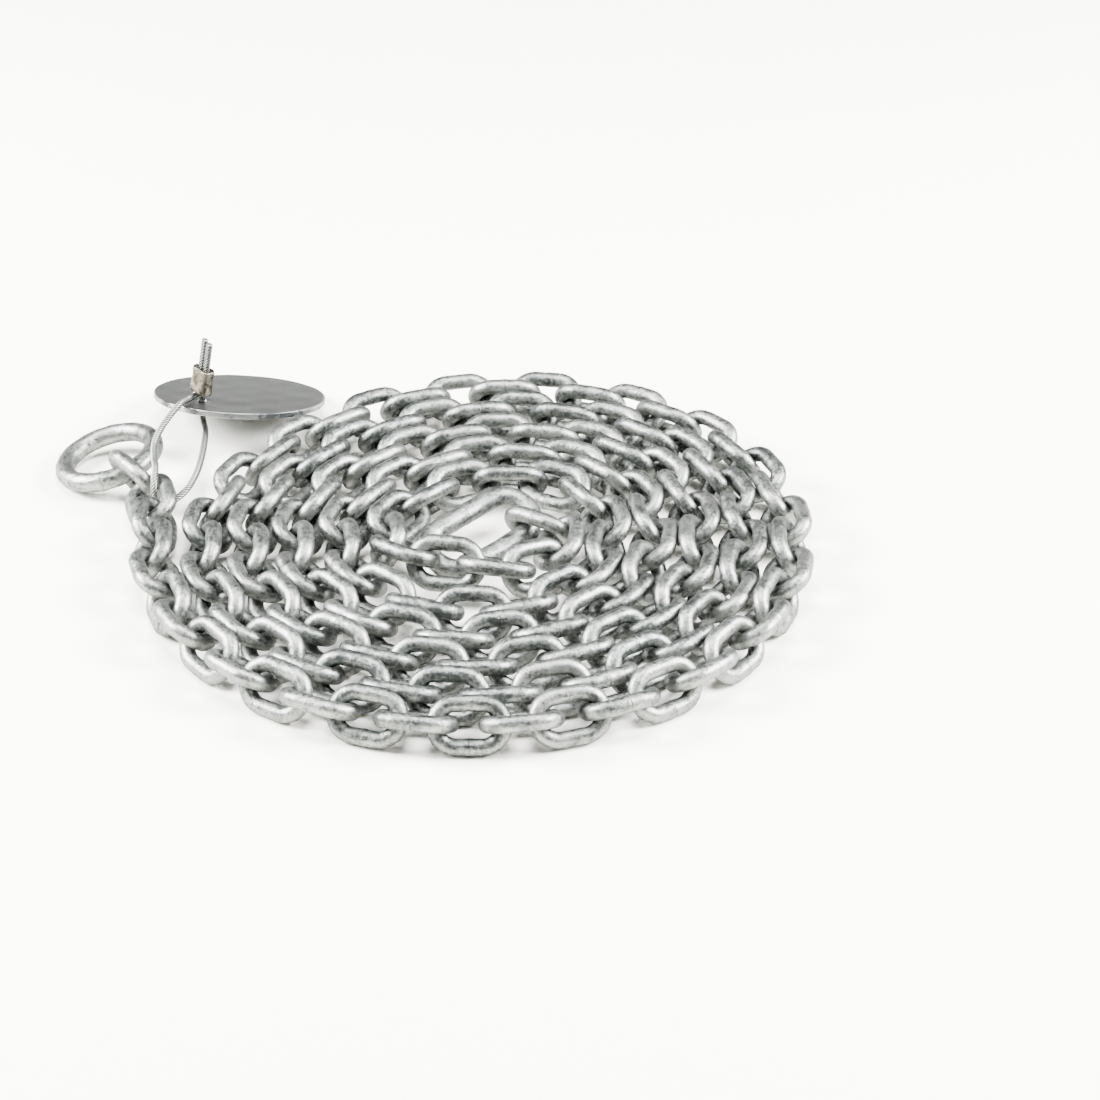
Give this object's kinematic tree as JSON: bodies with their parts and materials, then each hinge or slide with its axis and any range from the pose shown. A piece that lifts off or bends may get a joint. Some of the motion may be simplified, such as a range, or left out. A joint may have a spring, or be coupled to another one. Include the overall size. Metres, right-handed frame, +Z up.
{
  "type": "coiled lifting chain",
  "caption": "Galvanised short-link steel chain laid down in a flat spiral coil, with a round end ring, an oblong end link and a disc tag on a wire-rope lanyard.",
  "frame": {"origin": "on the floor under the middle of the footprint: bottom centre of the bounding box", "axes": "+Z up; +X to the right as the camera sees the coil, with the end ring at -X; +Y away from the camera"},
  "size_m": [0.3882, 0.3524, 0.0587],
  "materials": {
    "galvanised_steel": "hot-dip galvanised, mottled satin grey",
    "zinc_plated_sheet": "satin plated, with fine scratches and a brighter rim",
    "pressed_aluminium": "crimped, satin",
    "wire_rope": "stranded galvanised wire rope"
  },
  "bodies": {
    "root": {"chain_run_01": "galvanised_steel", "chain_run_02": "galvanised_steel", "chain_run_03": "galvanised_steel", "chain_run_04": "galvanised_steel", "chain_run_05": "galvanised_steel", "chain_run_06": "galvanised_steel", "chain_run_07": "galvanised_steel", "chain_run_08": "galvanised_steel", "chain_run_09": "galvanised_steel", "chain_run_10": "galvanised_steel", "chain_run_11": "galvanised_steel", "chain_run_12": "galvanised_steel", "chain_run_13": "galvanised_steel", "chain_run_14": "galvanised_steel", "chain_run_15": "galvanised_steel", "chain_run_16": "galvanised_steel", "chain_run_17": "galvanised_steel", "chain_run_18": "galvanised_steel", "chain_run_19": "galvanised_steel", "chain_run_20": "galvanised_steel", "chain_run_21": "galvanised_steel", "chain_run_22": "galvanised_steel", "chain_run_23": "galvanised_steel", "chain_run_24": "galvanised_steel", "chain_run_25": "galvanised_steel", "chain_run_26": "galvanised_steel", "chain_run_27": "galvanised_steel", "chain_run_28": "galvanised_steel", "chain_run_29": "galvanised_steel", "chain_run_30": "galvanised_steel", "chain_run_31": "galvanised_steel", "chain_run_32": "galvanised_steel", "chain_run_33": "galvanised_steel", "chain_run_34": "galvanised_steel", "chain_run_35": "galvanised_steel", "chain_run_36": "galvanised_steel", "chain_run_37": "galvanised_steel", "chain_run_38": "galvanised_steel", "chain_run_39": "galvanised_steel", "chain_run_40": "galvanised_steel", "chain_run_41": "galvanised_steel", "chain_run_42": "galvanised_steel", "chain_run_43": "galvanised_steel", "chain_run_44": "galvanised_steel", "chain_run_45": "galvanised_steel", "chain_run_46": "galvanised_steel", "chain_run_47": "galvanised_steel", "chain_run_48": "galvanised_steel", "chain_run_49": "galvanised_steel", "chain_run_50": "galvanised_steel", "end_ring": "galvanised_steel", "oblong_end_link": "galvanised_steel", "disc_tag": "zinc_plated_sheet", "lanyard_ferrule": "pressed_aluminium", "lanyard_wire": "wire_rope"}
  },
  "joints": []
}
